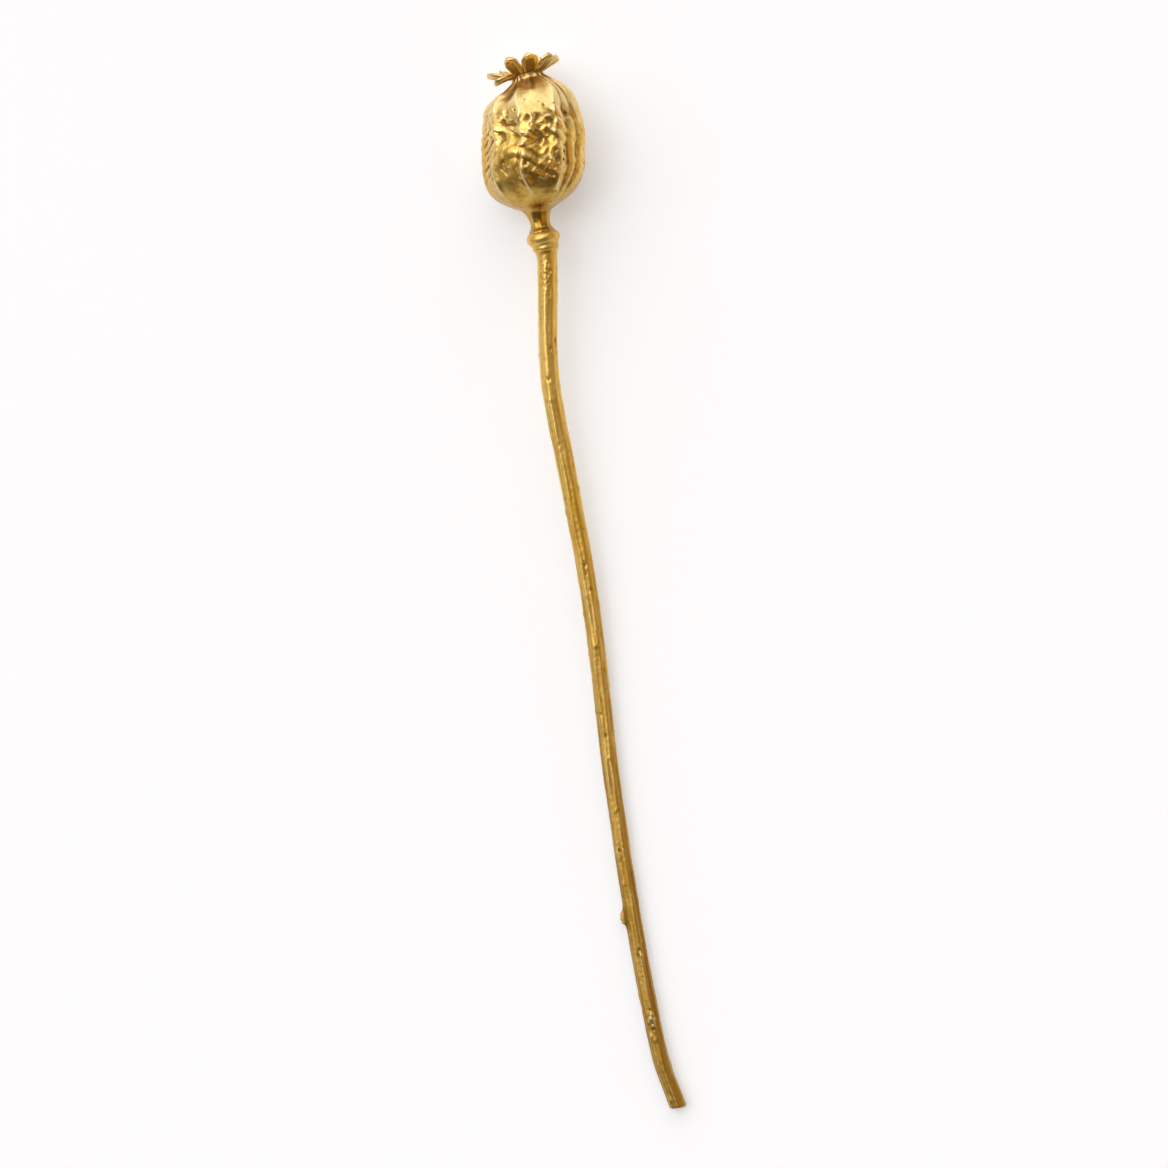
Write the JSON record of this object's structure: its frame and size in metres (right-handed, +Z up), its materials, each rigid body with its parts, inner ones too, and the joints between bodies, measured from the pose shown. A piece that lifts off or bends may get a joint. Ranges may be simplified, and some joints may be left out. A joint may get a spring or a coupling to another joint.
{
  "type": "poppy seed head",
  "caption": "Dried poppy seed head painted gold: a ribbed, wrinkled capsule with a lobed crown on a long bare stem, lying on its side for floral decoration.",
  "frame": {"origin": "the spot on the resting surface under the widest part of the capsule", "axes": "+Y from the stem's cut end towards the crown, +Z up from the surface that the part lies on, +X to the right as seen from above"},
  "size_m": [0.0715, 0.3677, 0.0348],
  "materials": {
    "stem_gold": "satin",
    "capsule_gold": "satin",
    "crown_gold": "satin"
  },
  "bodies": {
    "root": {"stem": "stem_gold", "capsule": "capsule_gold", "crown": "crown_gold"}
  },
  "joints": []
}
